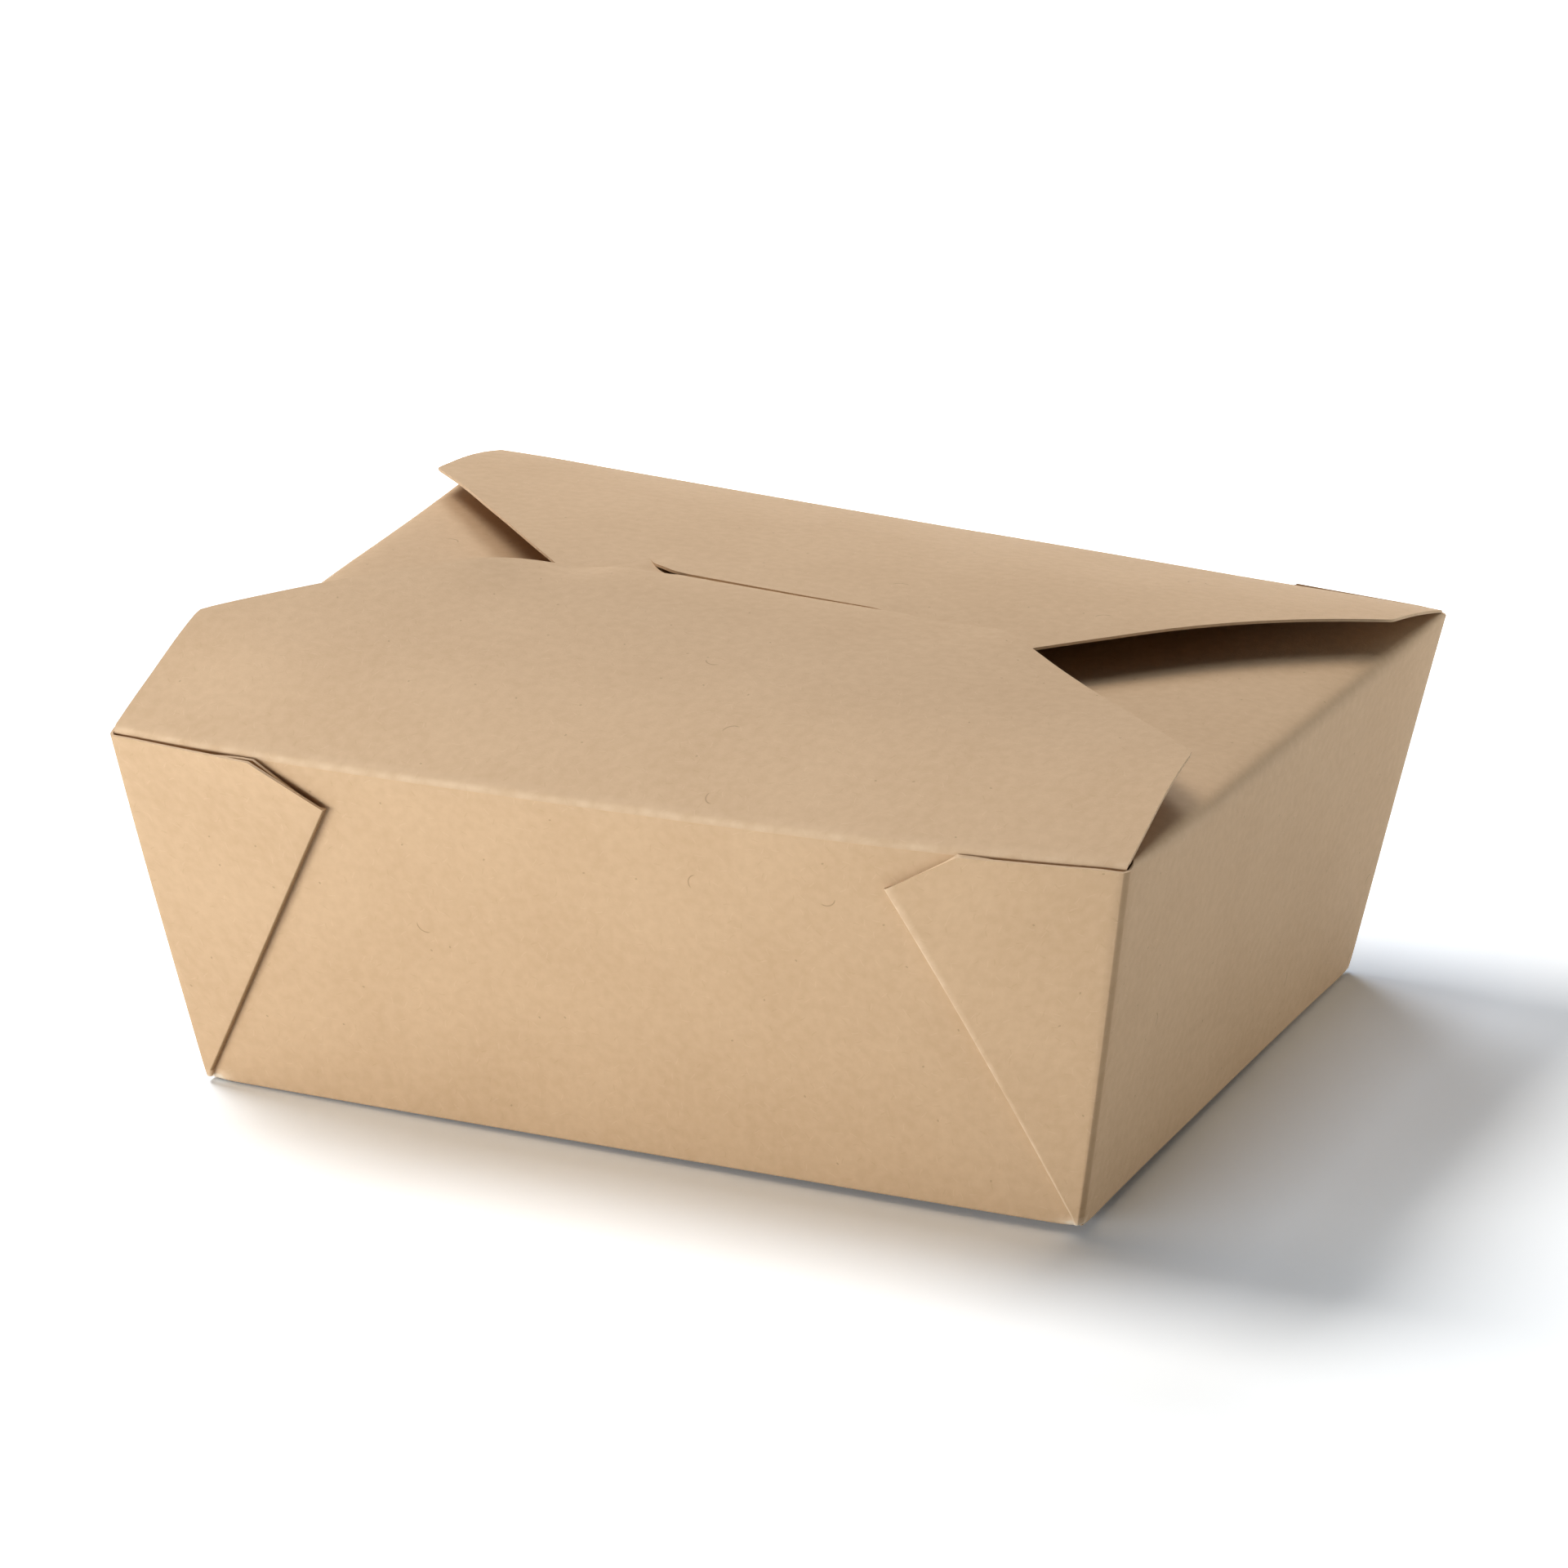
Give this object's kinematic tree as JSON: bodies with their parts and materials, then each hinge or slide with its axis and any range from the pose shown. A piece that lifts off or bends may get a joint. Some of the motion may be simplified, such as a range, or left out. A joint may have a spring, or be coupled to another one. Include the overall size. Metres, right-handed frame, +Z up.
{
  "type": "takeout carton",
  "caption": "Folded kraft board takeout carton with sloping walls, web corners and a domed lid of tucked flaps, closed by a tab in a slit; holds a hot meal.",
  "frame": {"origin": "middle of the underside", "axes": "+X along the long side, front wall with the opening flap facing -Y, +Z up"},
  "size_m": [0.172, 0.1432, 0.075],
  "materials": {
    "kraft_board": "matt uncoated brown kraft"
  },
  "bodies": {
    "carton": {"carton": "kraft_board"},
    "front_flap": {"front_flap": "kraft_board"}
  },
  "joints": [
    {"name": "front_flap_hinge", "type": "hinge", "parent": "carton", "child": "front_flap", "pos_m": [0, -0.07037, 0.063], "axis": [1, 0, 0], "range_deg": [0, 160]}
  ]
}
